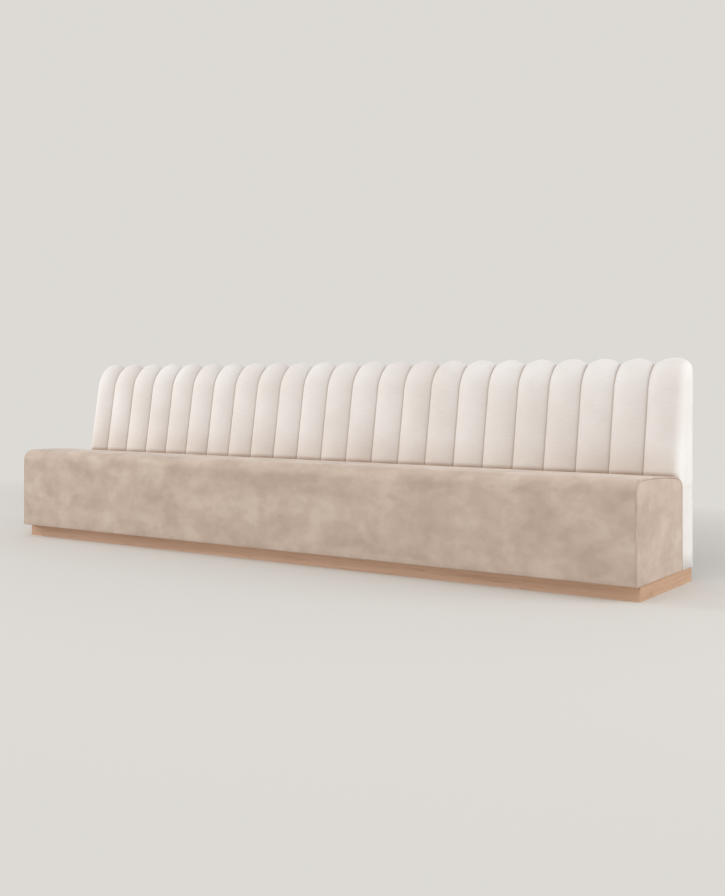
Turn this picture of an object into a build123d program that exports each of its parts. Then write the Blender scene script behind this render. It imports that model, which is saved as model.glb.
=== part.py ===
from build123d import *
import os
from math import asin, atan2, cos, degrees, radians, sin, sqrt, tan

os.makedirs("parts", exist_ok=True)

# A straight upholstered booth: a recessed wood plinth with levelling feet, a sprung seat box,
# and a raked back of vertical flutes that roll over the top.
# X runs along the bench, Y from its front face to its rear face, Z up from the floor.

# Overall sizes
length = 3400.0
depth = 612.0
height = 914.0
back_foot_depth = 122.0

# Plinth
plinth_height = 60.0
toe_recess = 48.0
end_inset = 6.0
plinth_board = 18.0
cross_member_count = 4
cross_member_lift = 3.0

# Levelling feet
foot_column_count = 3
block_side = 70.0
block_height = 35.0
stud_radius = 5.0
stud_end_gap = 2.0
thread_gap = 0.05
pad_radius = 20.0
pad_thickness = 8.0
pad_collar_radius = 11.0
pad_collar_height = 4.0
pad_floor = 3.0
journal_radius = 6.0
stud_hex_width = 14.0
stud_hex_height = 6.0
stud_hex_gap = 0.3
tee_flange_radius = 11.0
tee_flange = 1.5
tee_barrel_radius = 6.5
tee_barrel_length = 12.0

# Seat box frame
base_board = 12.0
box_board = 15.0
seat_frame_top = 350.0
seat_rail_width = 45.0
seat_rail_height = 60.0
seat_rail_drop = 7.0
rib_count = 5
rib_slot_length = 260.0
rib_slot_height = 90.0

# Seat springs
spring_count = 15
spring_edge = 160.0
wire_radius = 1.8
wire_bar = 26.0
wire_turn_radius = 14.0
clip_sheet = 1.0
clip_width = 18.0
clip_tail = 11.0
clip_mouth = 6.0
clip_play = 0.05
felt = 4.0

# Upholstery layers
cover = 2.0
seat_foam_skin = 8.0
back_end_pad = 10.0
channel_foam = 56.0
channel_web = 1.0
welt_radius = 3.5
welt_gap = 0.3

# Seat outline, seen from the end
seat_crest_height = 455.0
seat_crest_setback = 96.0
seat_front_radius = 54.0
seat_crown_radius = 3100.0
seat_rear_round_depth = 60.0
seat_rear_round_drop = 29.0
seat_tuck_share = 0.8

# Back outline, seen from the end
top_front_radius = 173.0
top_nose_radius = 5.0
top_turn = 38.0
ledge_drop = 55.0
ledge_clearance = 4.4
seat_to_flute_gap = 0.5

# Flutes, also called channels
channel_count = 23
seam_depth = 21.7
seam_depth_top = 33.5
flank_share = 0.81
flank_drop_share = 0.46
end_flank_share = 0.719
end_flank_drop_share = 0.297
shoulder_steps = 6
nose_steps = 4
play = 0.3
seam_play = 0.05

# Back frame
face_board = 9.0
rear_board = 6.0
post_board = 18.0
post_count = 8
post_pitch_share = 0.125
rail_thickness = 18.0
rail_height = 70.0
mid_rail_height = 560.0
bolt_rail_height = 185.0
rear_cover_lap = 6.0

# Fasteners
bolt_count = 6
bolt_radius = 4.0
bolt_gap = 0.2
bolt_head_radius = 7.0
bolt_head_height = 5.0
bolt_spare = 3.0
nut_width = 13.0
nut_height = 6.5
screw_radius = 2.5
screw_head_radius = 5.0
screw_length = 40.0
screw_inset = 90.0

# Places worked out from the sizes above
front_y = -depth / 2
rear_y = depth / 2
seat_rear_y = rear_y - back_foot_depth
plinth_end_x = length / 2 - end_inset
plinth_front_y = front_y + toe_recess
seat_frame_x = length / 2 - cover - seat_foam_skin
seat_frame_y = front_y + cover + seat_foam_skin
seat_frame_bottom = plinth_height + base_board
ledge_height = seat_crest_height - ledge_drop
felt_top = seat_frame_top + felt
back_frame_x = length / 2 - cover - back_end_pad
rear_panel_y = rear_y - cover
back_frame_y = rear_panel_y - rear_board
flute_depth = cover + channel_foam
top_rear_radius = flute_depth + top_nose_radius
apex_y = back_frame_y
pitch = length / channel_count
half_pitch = pitch / 2


def from_centre(centre, radius, direction):
    return (centre[0] + radius * direction[0], centre[1] + radius * direction[1])


# Seat outline: one flat crown arc, a round front edge and a softer two-arc rear edge.
# An inset follows the same outline further in.
crown_centre = (front_y + seat_crest_setback, seat_crest_height - seat_crown_radius)
edge_centre_y = front_y + seat_front_radius
edge_reach = seat_crown_radius - seat_front_radius
edge_side = edge_centre_y - crown_centre[0]
edge_centre = (edge_centre_y, crown_centre[1] + sqrt(edge_reach**2 - edge_side**2))
edge_way = (edge_side / edge_reach, (edge_centre[1] - crown_centre[1]) / edge_reach)
fall_y = seat_rear_y - seat_rear_round_depth
fall_side = (fall_y - crown_centre[0]) / seat_crown_radius
fall_way = (fall_side, sqrt(1 - fall_side**2))
fall_point = from_centre(crown_centre, seat_crown_radius, fall_way)
tuck_radius = seat_tuck_share * seat_rear_round_drop
tuck_centre = (seat_rear_y - tuck_radius, fall_point[1] - seat_rear_round_drop)
tuck_run = tuck_centre[0] - fall_point[0]
tuck_fall = tuck_centre[1] - fall_point[1]
tuck_lean = -(tuck_run * fall_way[0] + tuck_fall * fall_way[1])
fall_radius = (tuck_run**2 + tuck_fall**2 - tuck_radius**2) / (2 * (tuck_lean - tuck_radius))
fall_centre = from_centre(fall_point, -fall_radius, fall_way)
tuck_reach = fall_radius - tuck_radius
tuck_way = (
    (tuck_centre[0] - fall_centre[0]) / tuck_reach,
    (tuck_centre[1] - fall_centre[1]) / tuck_reach,
)


def seat_edge(inset, front_bottom, rear_bottom):
    front = front_y + inset
    rear = seat_rear_y - inset
    rise = Line((front, front_bottom), (front, edge_centre[1]))
    edge_end = from_centre(edge_centre, seat_front_radius - inset, edge_way)
    edge = TangentArc(rise @ 1, edge_end, tangent=rise % 1)
    crown_end = from_centre(crown_centre, seat_crown_radius - inset, fall_way)
    crown = TangentArc(edge @ 1, crown_end, tangent=edge % 1)
    fall_end = from_centre(fall_centre, fall_radius - inset, tuck_way)
    fall = TangentArc(crown @ 1, fall_end, tangent=crown % 1)
    tuck = TangentArc(fall @ 1, (rear, tuck_centre[1]), tangent=fall % 1)
    drop = Line(tuck @ 1, (rear, rear_bottom))
    return rise @ 0, drop @ 1


def seat_face(inset, bottom):
    with BuildLine() as outline:
        start, end = seat_edge(inset, bottom, bottom)
        Line(end, start)
    make_face(outline.edges())


# Back outline: a raked straight, then two tangent arcs to the flat top.
# A depth follows the same outline further behind the crest of the flutes.
top_centre = (apex_y, height - top_rear_radius)


def outward(heading):
    return (-sin(radians(heading)), cos(radians(heading)))


shoulder_centre = from_centre(top_centre, top_rear_radius - top_front_radius, outward(top_turn))

# The rake takes the face board from just behind the seat, at the ledge, to the shoulder arc
board_run = shoulder_centre[0] - seat_rear_y - ledge_clearance
board_rise = shoulder_centre[1] - ledge_height
board_reach = sqrt(board_run**2 + board_rise**2)
arc_lean = degrees(asin((top_front_radius - flute_depth) / board_reach))
rake_heading = degrees(atan2(board_rise, board_run)) + arc_lean


def back_point(heading, behind=0.0):
    if heading > top_turn:
        return from_centre(shoulder_centre, top_front_radius - behind, outward(heading))
    return from_centre(top_centre, top_rear_radius - behind, outward(heading))


def raked_y(z, behind):
    start = back_point(rake_heading, behind)
    return start[0] - (start[1] - z) / tan(radians(rake_heading))


def top_arcs(behind):
    start = back_point(rake_heading, behind)
    heading = (cos(radians(rake_heading)), sin(radians(rake_heading)))
    shoulder_end = from_centre(shoulder_centre, top_front_radius - behind, outward(top_turn))
    shoulder = TangentArc(start, shoulder_end, tangent=heading)
    crown = TangentArc(shoulder @ 1, (apex_y, height - behind), tangent=shoulder % 1)
    return crown @ 1


def back_side_face():
    with BuildLine() as outline:
        top = top_arcs(flute_depth)
        Polyline(
            top,
            (rear_panel_y, height - flute_depth),
            (rear_panel_y, plinth_height),
            (seat_rear_y, plinth_height),
            (seat_rear_y, ledge_height),
            (raked_y(ledge_height, flute_depth), ledge_height),
            back_point(rake_heading, flute_depth),
        )
    make_face(outline.edges())


def post_face(bottom):
    board_back = flute_depth + face_board
    top = back_point(rake_heading, board_back)
    with BuildLine() as outline:
        Polyline(
            (seat_rear_y, bottom),
            (seat_rear_y, ledge_height),
            (raked_y(ledge_height, board_back), ledge_height),
            top,
            (back_frame_y, top[1]),
            (back_frame_y, bottom),
            close=True,
        )
    make_face(outline.edges())


# Plinth boards, mitred at the two front corners
plinth_inner_x = plinth_end_x - plinth_board
plinth_inner_y = plinth_front_y + plinth_board

with BuildPart() as plinth_front_board:
    with BuildSketch():
        with BuildLine():
            Polyline(
                (-plinth_end_x, plinth_front_y),
                (plinth_end_x, plinth_front_y),
                (plinth_inner_x, plinth_inner_y),
                (-plinth_inner_x, plinth_inner_y),
                close=True,
            )
        make_face()
    extrude(amount=plinth_height)
plinth_front_board.part.label = "plinth_front_board"
export_step(plinth_front_board.part, "parts/plinth_front_board.step")

with BuildPart() as plinth_right_board:
    with BuildSketch():
        with BuildLine():
            Polyline(
                (plinth_end_x, plinth_front_y),
                (plinth_end_x, rear_y),
                (plinth_inner_x, rear_y),
                (plinth_inner_x, plinth_inner_y),
                close=True,
            )
        make_face()
    extrude(amount=plinth_height)
plinth_right_board.part.label = "plinth_right_board"
export_step(plinth_right_board.part, "parts/plinth_right_board.step")

with BuildPart() as plinth_left_board:
    add(plinth_right_board.part)
    mirror(about=Plane.YZ, mode=Mode.REPLACE)
plinth_left_board.part.label = "plinth_left_board"
export_step(plinth_left_board.part, "parts/plinth_left_board.step")

with BuildPart() as plinth_rear_board:
    with BuildSketch():
        with Locations((0, rear_y - plinth_board / 2)):
            Rectangle(2 * plinth_inner_x, plinth_board)
    extrude(amount=plinth_height)
plinth_rear_board.part.label = "plinth_rear_board"
export_step(plinth_rear_board.part, "parts/plinth_rear_board.step")

# Cross members between the front and rear boards, with holes for the screws from above
bay = 2 * plinth_inner_x / (cross_member_count + 1)
member_span = rear_y - plinth_board - plinth_inner_y
member_y = plinth_inner_y + member_span / 2
member_places = [((i + 1) * bay - plinth_inner_x, member_y) for i in range(cross_member_count)]
screw_y = (plinth_inner_y + screw_inset, seat_rear_y - screw_inset)
screw_places = [(place[0], y) for place in member_places for y in screw_y]

with BuildPart() as plinth_cross_members:
    with BuildSketch(Plane.XY.offset(cross_member_lift)):
        with Locations(*member_places):
            Rectangle(plinth_board, member_span)
    extrude(amount=plinth_height - cross_member_lift)
    with BuildSketch(Plane.XY.offset(plinth_height)):
        with Locations(*screw_places):
            Circle(screw_radius)
    extrude(amount=base_board - screw_length, mode=Mode.SUBTRACT)
plinth_cross_members.part.label = "plinth_cross_members"
export_step(plinth_cross_members.part, "parts/plinth_cross_members.step")

with BuildPart() as plinth_screws:
    with BuildSketch(Plane.XY.offset(seat_frame_bottom)):
        with Locations(*screw_places):
            Circle(screw_radius)
    extrude(amount=-screw_length)
    with Locations(*[(x, y, seat_frame_bottom) for x, y in screw_places]):
        Cone(
            screw_radius,
            screw_head_radius,
            screw_head_radius - screw_radius,
            align=(Align.CENTER, Align.CENTER, Align.MAX),
        )
plinth_screws.part.label = "plinth_screws"
export_step(plinth_screws.part, "parts/plinth_screws.step")

# Levelling feet: glued blocks, tee nuts in them, threaded studs and swivel pads
block_x = plinth_inner_x - block_side / 2
column_pitch = 2 * block_x / (foot_column_count - 1)
block_rows = (plinth_inner_y + block_side / 2, rear_y - plinth_board - block_side / 2)
foot_places = [(i * column_pitch - block_x, y) for y in block_rows for i in range(foot_column_count)]
block_bottom = plinth_height - block_height
tee_bore = stud_radius + thread_gap
stud_top = plinth_height - stud_end_gap
hex_bottom = pad_thickness + pad_collar_height + stud_hex_gap

with BuildPart() as leveller_blocks:
    with BuildSketch(Plane.XY.offset(block_bottom)):
        with Locations(*foot_places):
            Rectangle(block_side, block_side)
            Circle(tee_barrel_radius, mode=Mode.SUBTRACT)
    extrude(amount=block_height)
leveller_blocks.part.label = "leveller_blocks"
export_step(leveller_blocks.part, "parts/leveller_blocks.step")

with BuildPart() as leveller_tee_nuts:
    with BuildSketch(Plane.XY.offset(block_bottom)):
        with Locations(*foot_places):
            Circle(tee_flange_radius)
            Circle(tee_bore, mode=Mode.SUBTRACT)
    extrude(amount=-tee_flange)
    with BuildSketch(Plane.XY.offset(block_bottom)):
        with Locations(*foot_places):
            Circle(tee_barrel_radius)
            Circle(tee_bore, mode=Mode.SUBTRACT)
    extrude(amount=tee_barrel_length)
leveller_tee_nuts.part.label = "leveller_tee_nuts"
export_step(leveller_tee_nuts.part, "parts/leveller_tee_nuts.step")

for number, place in enumerate(foot_places, start=1):
    with BuildPart() as leveller_pad:
        with BuildSketch():
            with Locations(place):
                Circle(pad_radius)
        extrude(amount=pad_thickness)
        with BuildSketch(Plane.XY.offset(pad_thickness)):
            with Locations(place):
                Circle(pad_collar_radius)
        extrude(amount=pad_collar_height)
        with BuildSketch(Plane.XY.offset(pad_floor)):
            with Locations(place):
                Circle(journal_radius + thread_gap)
        extrude(amount=pad_thickness + pad_collar_height, mode=Mode.SUBTRACT)
    leveller_pad.part.label = f"leveller_pad_{number}"
    export_step(leveller_pad.part, f"parts/leveller_pad_{number}.step")

    with BuildPart() as leveller_stud:
        with BuildSketch(Plane.XY.offset(pad_floor)):
            with Locations(place):
                Circle(journal_radius)
        extrude(amount=hex_bottom - pad_floor)
        with BuildSketch(Plane.XY.offset(hex_bottom)):
            with Locations(place):
                RegularPolygon(stud_hex_width / 2, 6, major_radius=False)
        extrude(amount=stud_hex_height)
        with BuildSketch(Plane.XY.offset(hex_bottom + stud_hex_height)):
            with Locations(place):
                Circle(stud_radius)
        extrude(amount=stud_top - hex_bottom - stud_hex_height)
    leveller_stud.part.label = f"leveller_stud_{number}"
    export_step(leveller_stud.part, f"parts/leveller_stud_{number}.step")

# Seat box: base board, four upright panels and ribs
frame_span_y = seat_rear_y - seat_frame_y
frame_mid_y = (seat_rear_y + seat_frame_y) / 2
panel_height = seat_frame_top - seat_frame_bottom
seat_inner_x = seat_frame_x - box_board
seat_inner_front = seat_frame_y + box_board
seat_inner_rear = seat_rear_y - box_board
inner_span_y = seat_inner_rear - seat_inner_front
inner_mid_y = (seat_inner_rear + seat_inner_front) / 2

with BuildPart() as seat_base_board:
    with BuildSketch(Plane.XY.offset(plinth_height)):
        with Locations((0, frame_mid_y)):
            Rectangle(2 * seat_frame_x, frame_span_y)
    extrude(amount=base_board)
    with Locations(*[(x, y, seat_frame_bottom) for x, y in screw_places]):
        CounterSinkHole(screw_radius, screw_head_radius, base_board)
seat_base_board.part.label = "seat_base_board"
export_step(seat_base_board.part, "parts/seat_base_board.step")

with BuildPart() as seat_front_panel:
    with BuildSketch(Plane.XY.offset(seat_frame_bottom)):
        with Locations((0, seat_frame_y + box_board / 2)):
            Rectangle(2 * seat_frame_x, box_board)
    extrude(amount=panel_height)
seat_front_panel.part.label = "seat_front_panel"
export_step(seat_front_panel.part, "parts/seat_front_panel.step")

bolt_pitch = 2 * seat_inner_x / bolt_count
bolt_places = [((i + 0.5) * bolt_pitch - seat_inner_x, bolt_rail_height) for i in range(bolt_count)]

with BuildPart() as seat_rear_panel:
    with BuildSketch(Plane.XZ.offset(-seat_rear_y)):
        with Locations((0, seat_frame_bottom + panel_height / 2)):
            Rectangle(2 * seat_inner_x, panel_height)
        with Locations(*bolt_places):
            Circle(bolt_radius + bolt_gap, mode=Mode.SUBTRACT)
    extrude(amount=box_board)
seat_rear_panel.part.label = "seat_rear_panel"
export_step(seat_rear_panel.part, "parts/seat_rear_panel.step")

for side, side_name in ((-1, "left"), (1, "right")):
    with BuildPart() as seat_end_panel:
        with BuildSketch(Plane.XY.offset(seat_frame_bottom)):
            with Locations((side * (seat_frame_x - box_board / 2), (seat_inner_front + seat_rear_y) / 2)):
                Rectangle(box_board, seat_rear_y - seat_inner_front)
        extrude(amount=panel_height)
    seat_end_panel.part.label = f"seat_{side_name}_end_panel"
    export_step(seat_end_panel.part, f"parts/seat_{side_name}_end_panel.step")

rail_top = seat_frame_top - seat_rail_drop
rib_height = rail_top - seat_rail_height - seat_frame_bottom
rib_pitch = 2 * seat_inner_x / (rib_count + 1)

with BuildPart() as seat_ribs:
    for i in range(rib_count):
        with BuildSketch(Plane.YZ.offset((i + 1) * rib_pitch - seat_inner_x - box_board / 2)):
            with Locations((inner_mid_y, seat_frame_bottom + rib_height / 2)):
                Rectangle(inner_span_y, rib_height)
                SlotOverall(rib_slot_length, rib_slot_height, mode=Mode.SUBTRACT)
        extrude(amount=box_board)
seat_ribs.part.label = "seat_ribs"
export_step(seat_ribs.part, "parts/seat_ribs.step")

front_rail_y = seat_inner_front + seat_rail_width / 2
rear_rail_y = seat_inner_rear - seat_rail_width / 2

with BuildPart() as seat_top_front_rail:
    with BuildSketch(Plane.XY.offset(rail_top)):
        with Locations((0, front_rail_y)):
            Rectangle(2 * seat_inner_x, seat_rail_width)
    extrude(amount=-seat_rail_height)
seat_top_front_rail.part.label = "seat_top_front_rail"
export_step(seat_top_front_rail.part, "parts/seat_top_front_rail.step")

with BuildPart() as seat_top_rear_rail:
    with BuildSketch(Plane.XY.offset(rail_top)):
        with Locations((0, rear_rail_y)):
            Rectangle(2 * seat_inner_x, seat_rail_width)
    extrude(amount=-seat_rail_height)
seat_top_rear_rail.part.label = "seat_top_rear_rail"
export_step(seat_top_rear_rail.part, "parts/seat_top_rear_rail.step")

# Sinuous springs: straight bars joined by half turns, from the front rail to the rear rail
wire_z = rail_top + clip_sheet + clip_play + wire_radius
wire_step = 2 * wire_turn_radius
bar_count = int((rear_rail_y - front_rail_y) / wire_step) + 1
first_bar_y = (front_rail_y + rear_rail_y) / 2 - (bar_count - 1) * wire_step / 2
last_bar_y = first_bar_y + (bar_count - 1) * wire_step
spring_x = seat_inner_x - spring_edge
spring_pitch = 2 * spring_x / (spring_count - 1)
spring_places = [i * spring_pitch - spring_x for i in range(spring_count)]

with BuildPart() as one_spring:
    with BuildLine(Plane.XY.offset(wire_z)) as wire_path:
        for bar in range(bar_count):
            side = 1 if bar % 2 == 0 else -1
            y = first_bar_y + bar * wire_step
            Line((-side * wire_bar / 2, y), (side * wire_bar / 2, y))
            if bar < bar_count - 1:
                ThreePointArc(
                    (side * wire_bar / 2, y),
                    (side * (wire_bar / 2 + wire_turn_radius), y + wire_turn_radius),
                    (side * wire_bar / 2, y + wire_step),
                )
    with BuildSketch(Plane(origin=(-wire_bar / 2, first_bar_y, wire_z), z_dir=(1, 0, 0))):
        Circle(wire_radius)
    sweep(path=wire_path.line)

with BuildPart() as seat_springs:
    with Locations(*[(x, 0, 0) for x in spring_places]):
        add(one_spring.part)
seat_springs.part.label = "seat_springs"
export_step(seat_springs.part, "parts/seat_springs.step")

clip_reach = wire_radius + clip_play
clip_top = 2 * clip_reach + 2 * clip_sheet


def clip_face(bar_y, way):
    outer = way * (clip_reach + clip_sheet)
    with BuildLine() as outline:
        Polyline(
            (bar_y + outer + way * clip_tail, rail_top),
            (bar_y - way * clip_mouth, rail_top),
            (bar_y - way * clip_mouth, rail_top + clip_sheet),
            (bar_y + way * clip_reach, rail_top + clip_sheet),
            (bar_y + way * clip_reach, rail_top + clip_top - clip_sheet),
            (bar_y - way * clip_mouth, rail_top + clip_top - clip_sheet),
            (bar_y - way * clip_mouth, rail_top + clip_top),
            (bar_y + outer, rail_top + clip_top),
            (bar_y + outer, rail_top + clip_sheet),
            (bar_y + outer + way * clip_tail, rail_top + clip_sheet),
            close=True,
        )
    make_face(outline.edges())


with BuildPart() as one_clip_pair:
    with BuildSketch(Plane.YZ):
        clip_face(first_bar_y, -1)
        clip_face(last_bar_y, 1)
    extrude(amount=clip_width / 2, both=True)

with BuildPart() as spring_clips:
    with Locations(*[(x, 0, 0) for x in spring_places]):
        add(one_clip_pair.part)
spring_clips.part.label = "spring_clips"
export_step(spring_clips.part, "parts/spring_clips.step")

with BuildPart() as seat_felt:
    with BuildSketch(Plane.XY.offset(seat_frame_top)):
        with Locations((0, frame_mid_y)):
            Rectangle(2 * seat_frame_x, frame_span_y)
    extrude(amount=felt)
seat_felt.part.label = "seat_felt"
export_step(seat_felt.part, "parts/seat_felt.step")

# Seat foam: a crowned block with its edges drawn in to the outline, and thin sheets on the sides
with BuildPart() as seat_foam:
    with BuildSketch(Plane.YZ):
        seat_face(cover, felt_top)
    extrude(amount=seat_frame_x, both=True)
seat_foam.part.label = "seat_foam"
export_step(seat_foam.part, "parts/seat_foam.step")

with BuildPart() as seat_front_foam:
    with BuildSketch(Plane.XY.offset(plinth_height)):
        with Locations((0, seat_frame_y - seat_foam_skin / 2)):
            Rectangle(2 * seat_frame_x, seat_foam_skin)
    extrude(amount=felt_top - plinth_height)
seat_front_foam.part.label = "seat_front_foam"
export_step(seat_front_foam.part, "parts/seat_front_foam.step")

# Seat covers, with a self-welt in the corner between the long cover and each end cover
welt_room = 2 * welt_radius + welt_gap
end_face_x = length / 2 - cover

with BuildPart() as seat_cover:
    with BuildSketch(Plane.YZ):
        with BuildLine():
            outer_start, outer_end = seat_edge(0, plinth_height, felt_top)
            inner_start, inner_end = seat_edge(cover, plinth_height, felt_top)
            Line(outer_start, inner_start)
            Line(outer_end, inner_end)
        make_face()
    extrude(amount=length / 2 - welt_room, both=True)
seat_cover.part.label = "seat_cover"
export_step(seat_cover.part, "parts/seat_cover.step")

for side, side_name in ((-1, "left"), (1, "right")):
    with BuildPart() as seat_end_foam:
        with BuildSketch(Plane.YZ.offset(side * seat_frame_x)):
            seat_face(welt_room, plinth_height)
        extrude(amount=side * seat_foam_skin)
    seat_end_foam.part.label = f"seat_{side_name}_end_foam"
    export_step(seat_end_foam.part, f"parts/seat_{side_name}_end_foam.step")

    with BuildPart() as seat_end_cover:
        with BuildSketch(Plane.YZ.offset(side * end_face_x)):
            seat_face(welt_room, plinth_height)
        extrude(amount=side * cover)
    seat_end_cover.part.label = f"seat_{side_name}_end_cover"
    export_step(seat_end_cover.part, f"parts/seat_{side_name}_end_cover.step")

    with BuildPart() as seat_welt:
        with BuildLine(Plane.YZ.offset(side * (length / 2 - welt_radius))) as welt_path:
            seat_edge(welt_radius, plinth_height, plinth_height)
        with BuildSketch(Plane.XY.offset(plinth_height)):
            with Locations((side * (length / 2 - welt_radius), front_y + welt_radius)):
                Circle(welt_radius)
        sweep(path=welt_path.line)
    seat_welt.part.label = f"seat_{side_name}_welt"
    export_step(seat_welt.part, f"parts/seat_{side_name}_welt.step")

# Back frame: base board, rails let into the posts, and a face board that carries the flutes
back_inner_x = back_frame_x - box_board
front_rail_back = seat_rear_y + rail_thickness
rear_rail_front = back_frame_y - rail_thickness

with BuildPart() as back_base_board:
    with BuildSketch(Plane.XY.offset(plinth_height)):
        with Locations((0, (seat_rear_y + back_frame_y) / 2)):
            Rectangle(2 * back_frame_x, back_frame_y - seat_rear_y)
    extrude(amount=base_board)
back_base_board.part.label = "back_base_board"
export_step(back_base_board.part, "parts/back_base_board.step")


def rail_sketch(near_y, low_z):
    with Locations((near_y + rail_thickness / 2, low_z + rail_height / 2)):
        Rectangle(rail_thickness, rail_height)


with BuildPart() as back_bottom_rail:
    with BuildSketch(Plane.YZ):
        rail_sketch(rear_rail_front, seat_frame_bottom)
    extrude(amount=back_inner_x, both=True)
back_bottom_rail.part.label = "back_bottom_rail"
export_step(back_bottom_rail.part, "parts/back_bottom_rail.step")

with BuildPart() as back_mid_rail:
    with BuildSketch(Plane.YZ):
        rail_sketch(rear_rail_front, mid_rail_height - rail_height / 2)
    extrude(amount=back_inner_x, both=True)
back_mid_rail.part.label = "back_mid_rail"
export_step(back_mid_rail.part, "parts/back_mid_rail.step")

with BuildPart() as back_ledge_rail:
    with BuildSketch(Plane.YZ):
        rail_sketch(seat_rear_y, ledge_height - rail_height)
    extrude(amount=back_inner_x, both=True)
back_ledge_rail.part.label = "back_ledge_rail"
export_step(back_ledge_rail.part, "parts/back_ledge_rail.step")

with BuildPart() as back_bolt_rail:
    with BuildSketch(Plane.XZ.offset(-seat_rear_y)):
        with Locations((0, bolt_rail_height)):
            Rectangle(2 * back_inner_x, rail_height)
        with Locations(*bolt_places):
            Circle(bolt_radius + bolt_gap, mode=Mode.SUBTRACT)
    extrude(amount=-rail_thickness)
back_bolt_rail.part.label = "back_bolt_rail"
export_step(back_bolt_rail.part, "parts/back_bolt_rail.step")

post_pitch = post_pitch_share * length
post_places = [(i - (post_count - 1) / 2) * post_pitch for i in range(post_count)]

with BuildPart() as back_posts:
    for x in post_places:
        with BuildSketch(Plane.YZ.offset(x - post_board / 2)):
            post_face(seat_frame_bottom)
        extrude(amount=post_board)
    for rail in (back_bottom_rail, back_mid_rail, back_ledge_rail):
        add(rail.part, mode=Mode.SUBTRACT)
    with BuildSketch(Plane.YZ):
        rail_sketch(seat_rear_y, bolt_rail_height - rail_height / 2)
    extrude(amount=back_inner_x, both=True, mode=Mode.SUBTRACT)
back_posts.part.label = "back_posts"
export_step(back_posts.part, "parts/back_posts.step")

for side, side_name in ((-1, "left"), (1, "right")):
    with BuildPart() as back_end_panel:
        with BuildSketch(Plane.YZ.offset(side * back_inner_x)):
            post_face(seat_frame_bottom)
        extrude(amount=side * box_board)
    back_end_panel.part.label = f"back_{side_name}_end_panel"
    export_step(back_end_panel.part, f"parts/back_{side_name}_end_panel.step")

with BuildPart() as back_face_board:
    with BuildSketch(Plane.YZ):
        with BuildLine():
            Polyline(
                (raked_y(ledge_height, flute_depth), ledge_height),
                back_point(rake_heading, flute_depth),
                back_point(rake_heading, flute_depth + face_board),
                (raked_y(ledge_height, flute_depth + face_board), ledge_height),
                close=True,
            )
        make_face()
    extrude(amount=back_frame_x, both=True)
back_face_board.part.label = "back_face_board"
export_step(back_face_board.part, "parts/back_face_board.step")

with BuildPart() as back_top_rail:
    with BuildSketch(Plane.YZ):
        with BuildLine():
            nose = top_arcs(flute_depth)
            post_top = back_point(rake_heading, flute_depth + face_board)
            Polyline(
                nose,
                (apex_y, post_top[1]),
                post_top,
                back_point(rake_heading, flute_depth),
            )
        make_face()
    extrude(amount=back_frame_x, both=True)
back_top_rail.part.label = "back_top_rail"
export_step(back_top_rail.part, "parts/back_top_rail.step")

with BuildPart() as back_rear_panel:
    with BuildSketch(Plane.XY.offset(plinth_height)):
        with Locations((0, back_frame_y + rear_board / 2)):
            Rectangle(2 * back_frame_x, rear_board)
    extrude(amount=height - flute_depth - plinth_height)
back_rear_panel.part.label = "back_rear_panel"
export_step(back_rear_panel.part, "parts/back_rear_panel.step")

with BuildPart() as back_rear_cover:
    with BuildSketch(Plane.XY.offset(plinth_height)):
        with Locations((0, rear_y - cover / 2)):
            Rectangle(length, cover)
    extrude(amount=height - flute_depth + rear_cover_lap - plinth_height)
back_rear_cover.part.label = "back_rear_cover"
export_step(back_rear_cover.part, "parts/back_rear_cover.step")

for side, side_name in ((-1, "left"), (1, "right")):
    with BuildPart() as back_end_foam:
        with BuildSketch(Plane.YZ.offset(side * back_frame_x)):
            back_side_face()
        extrude(amount=side * back_end_pad)
    back_end_foam.part.label = f"back_{side_name}_end_foam"
    export_step(back_end_foam.part, f"parts/back_{side_name}_end_foam.step")

    with BuildPart() as back_end_cover:
        with BuildSketch(Plane.YZ.offset(side * end_face_x)):
            back_side_face()
        extrude(amount=side * cover)
    back_end_cover.part.label = f"back_{side_name}_end_cover"
    export_step(back_end_cover.part, f"parts/back_{side_name}_end_cover.step")

# Flutes: a rounded section carried up the rake and over the top, with its seams deepening there.
# Each foam flute is wrapped by its strip of cover, which goes down to the face board at the seams.
rake_run = back_point(rake_heading)[1] - ledge_height + flute_depth
straight_run = rake_run / sin(radians(rake_heading))
flute_end_y = rear_panel_y - cover
shoulder_turn = (rake_heading - top_turn) / shoulder_steps
nose_turn = top_turn / nose_steps
headings = [rake_heading - i * shoulder_turn for i in range(shoulder_steps)]
headings += [top_turn - i * nose_turn for i in range(nose_steps + 1)]
flute_foot = play - flute_depth


def flute_station(heading):
    spot = back_point(heading)
    plane = Plane(
        origin=(0, spot[0], spot[1]),
        x_dir=(1, 0, 0),
        z_dir=(0, -cos(radians(heading)), -sin(radians(heading))),
    )
    deepening = sin(radians(90 * (1 - heading / rake_heading)))
    return plane, seam_depth + (seam_depth_top - seam_depth) * deepening


stations = [flute_station(heading) for heading in headings]
top_station, top_drop = stations[-1]
stations.insert(0, (stations[0][0].offset(straight_run), seam_depth))
stations.append((top_station.offset(apex_y - flute_end_y), top_drop))


# One side of a rounded section, from its crest to its seam
def rounded_side(side, half, crest, seam, across_share, down_share):
    shoulder = (side * across_share * half, crest - down_share * (crest - seam))
    crown = TangentArc((0, crest), shoulder, tangent=(side, 0))
    flank = TangentArc(crown @ 1, (side * half, seam), tangent=crown % 1)
    return flank @ 1


# The outside of the section, or the same line further in by the layers given
def half_section(side, drop, inset, web, end_side):
    if side == end_side:
        half = half_pitch - inset
        return rounded_side(side, half, -inset, flute_foot, end_flank_share, end_flank_drop_share)
    half = half_pitch - seam_play - web
    return rounded_side(side, half, -inset, -drop - inset, flank_share, flank_drop_share)


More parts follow.
